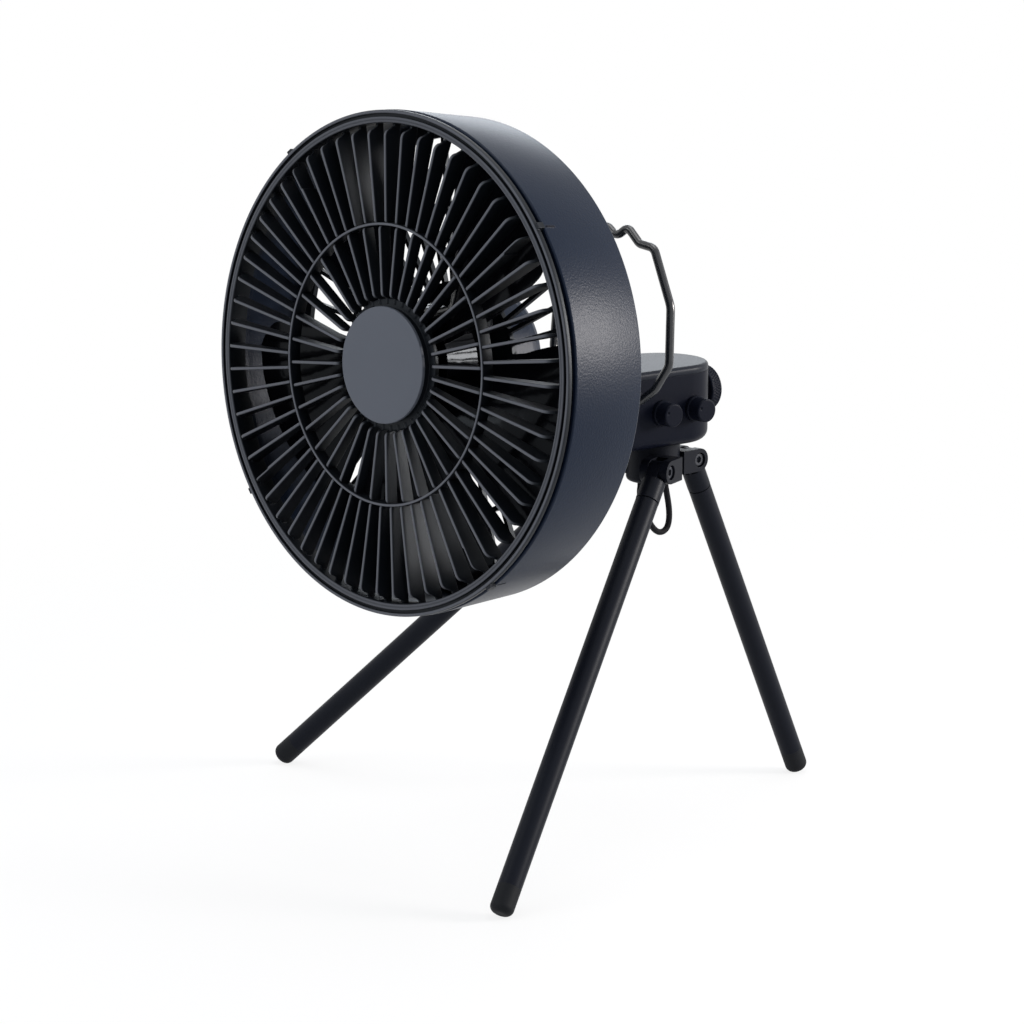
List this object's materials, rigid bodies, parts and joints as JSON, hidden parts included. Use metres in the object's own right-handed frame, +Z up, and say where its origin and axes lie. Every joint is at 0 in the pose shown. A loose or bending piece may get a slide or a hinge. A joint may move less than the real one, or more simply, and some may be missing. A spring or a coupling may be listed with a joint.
{
  "type": "portable camping fan",
  "caption": "Round drum fan on a short neck and battery housing, with a wire hanging bail, side knobs, a rear dial and a folding three-leg stand.",
  "frame": {"origin": "middle of the bottom of the whole object's box, on the floor", "axes": "+Z up, the fan blows towards -Y, +X to the side with the two knobs"},
  "size_m": [0.3304, 0.3158, 0.3817],
  "materials": {
    "drum_plastic": "fine-grained moulding",
    "grille_plastic": "smooth moulding",
    "badge_plastic": "satin",
    "rotor_plastic": "glossy moulding",
    "black_plastic": "satin moulding",
    "black_metal": "satin black coat",
    "steel": "machined",
    "bolt_steel": "black oxide",
    "rubber": "moulded",
    "cell_wrap": "shrink film",
    "board": "coated board",
    "cord": "braided cord"
  },
  "bodies": {
    "stand": {"stand_hub": "black_metal", "stand_stud": "steel", "swivel_pad": "rubber", "hinge_bolts": "bolt_steel", "cord_loop": "cord"},
    "housing": {"housing_body": "black_plastic", "housing_lid": "black_plastic", "housing_screws": "steel", "battery_cells": "cell_wrap", "control_board": "board", "charge_port": "steel", "tilt_pin": "steel"},
    "head": {"front_grille": "grille_plastic", "grille_badge": "badge_plastic", "drum_shell": "drum_plastic", "rear_grille": "grille_plastic", "rear_screws": "steel", "motor_can": "steel", "motor_cowl": "drum_plastic", "neck": "black_plastic"},
    "rotor": {"rotor_hub": "rotor_plastic", "rotor_blades": "rotor_plastic", "rotor_nut": "steel", "motor_shaft": "steel"},
    "bail": {"bail": "black_metal"},
    "speed_knob": {"speed_knob": "black_plastic"},
    "light_knob": {"light_knob": "black_plastic"},
    "rear_dial": {"rear_dial": "black_plastic"},
    "leg_a": {"leg_a_sleeve": "black_metal", "leg_a_tube": "black_metal", "leg_a_foot": "rubber"},
    "leg_b": {"leg_b_sleeve": "black_metal", "leg_b_tube": "black_metal", "leg_b_foot": "rubber"},
    "leg_c": {"leg_c_sleeve": "black_metal", "leg_c_tube": "black_metal", "leg_c_foot": "rubber"}
  },
  "joints": [
    {"name": "pan_turn", "type": "hinge", "parent": "stand", "child": "housing", "pos_m": [0.04511, 0.0406, 0.2006], "axis": [0, 0, 1], "range_deg": [-180, 180]},
    {"name": "head_tilt", "type": "hinge", "parent": "housing", "child": "head", "pos_m": [0.04511, -0.0274, 0.229], "axis": [-1, 0, 0], "range_deg": [-22, 44]},
    {"name": "rotor_spin", "type": "hinge", "parent": "head", "child": "rotor", "pos_m": [0.04511, -0.14774, 0.26211], "axis": [0, -0.998, 0.0635], "continuous": true},
    {"name": "bail_swing", "type": "hinge", "parent": "housing", "child": "bail", "pos_m": [0.04511, 0.0066, 0.2275], "axis": [-1, 0, 0], "range_deg": [-38, 96]},
    {"name": "speed_turn", "type": "hinge", "parent": "housing", "child": "speed_knob", "pos_m": [0.06701, 0.02316, 0.2194], "axis": [-0.9925, 0.1219, 0], "range_deg": [0, 270]},
    {"name": "light_turn", "type": "hinge", "parent": "housing", "child": "light_knob", "pos_m": [0.06969, 0.04499, 0.2194], "axis": [-0.9925, 0.1219, 0], "range_deg": [0, 270]},
    {"name": "dial_turn", "type": "hinge", "parent": "housing", "child": "rear_dial", "pos_m": [0.04511, 0.0723, 0.223], "axis": [0, -1, 0], "range_deg": [0, 300]},
    {"name": "leg_a_fold", "type": "hinge", "parent": "stand", "child": "leg_a", "pos_m": [0.06351, 0.0242, 0.1886], "axis": [0.9598, 0.2807, 0], "range_deg": [0, 42]},
    {"name": "leg_b_fold", "type": "hinge", "parent": "stand", "child": "leg_b", "pos_m": [0.05131, 0.0617, 0.1886], "axis": [-1, 0.0052, 0], "range_deg": [0, 26.2]},
    {"name": "leg_c_fold", "type": "hinge", "parent": "stand", "child": "leg_c", "pos_m": [0.02191, 0.0343, 0.1886], "axis": [0.3584, -0.9336, 0], "range_deg": [0, 46.7]}
  ]
}
